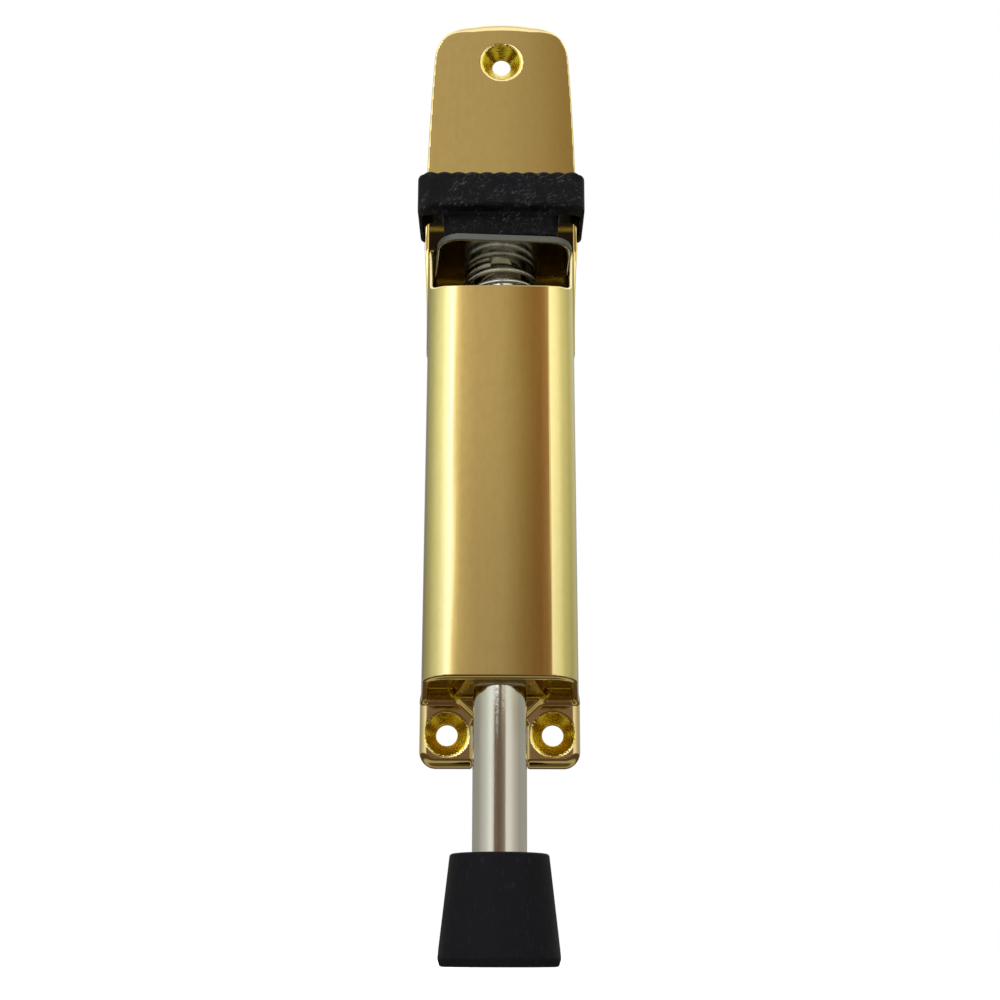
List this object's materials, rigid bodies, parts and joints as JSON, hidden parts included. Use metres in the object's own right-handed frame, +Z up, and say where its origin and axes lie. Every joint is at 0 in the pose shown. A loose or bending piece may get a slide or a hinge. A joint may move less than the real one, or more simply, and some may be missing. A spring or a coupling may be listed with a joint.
{
  "type": "foot-operated door holder",
  "caption": "Cast door holder with a foot-pressed plunger, rubber tip, black ribbed pedal and a spring-loaded release plate that grips the rod.",
  "frame": {"origin": "on the door's face, on the centre line, level with the housing's lower edge", "axes": "+Z up along the plunger, +Y into the door, +X to the right as seen from the room"},
  "size_m": [0.042, 0.0391, 0.255],
  "materials": {
    "polished_brass": "mirror polished, brass plated",
    "nickel": "satin nickel plate",
    "stainless": "rolled stainless sheet",
    "spring_steel": "bright drawn wire",
    "zinc_steel": "zinc plated, satin",
    "black_moulding": "moulded, finely scratched",
    "black_rubber": "satin rubber"
  },
  "bodies": {
    "body": {"body_casting": "polished_brass", "rear_cover": "zinc_steel", "cover_screw_lower": "zinc_steel", "cover_screw_upper": "zinc_steel", "lower_guide_bush": "nickel", "upper_guide_bush": "nickel", "lower_spring_washer": "zinc_steel", "lock_spring_seat": "zinc_steel"},
    "clutch": {"release_plate": "stainless", "lock_spring": "spring_steel"},
    "plunger": {"rod": "nickel", "return_spring": "spring_steel", "return_spring_collar": "zinc_steel", "collar_pin": "spring_steel", "rubber_tip": "black_rubber", "tip_washer": "zinc_steel", "tip_screw": "zinc_steel", "pedal_core": "zinc_steel", "pedal_cover": "black_moulding", "pedal_pin": "spring_steel"}
  },
  "joints": [
    {"name": "plunger_slide", "type": "slide", "parent": "body", "child": "plunger", "axis": [0, 0, 1], "range_m": [0, 0.036], "deforming": ["return_spring"]},
    {"name": "release_plate_tilt", "type": "hinge", "parent": "body", "child": "clutch", "pos_m": [0, -0.0066, 0.1053], "axis": [0.9969, 0.0785, 0], "range_deg": [0, 9], "stiffness_Nm_per_rad": 0.4, "springref_deg": -17.19, "deforming": ["lock_spring"]}
  ]
}
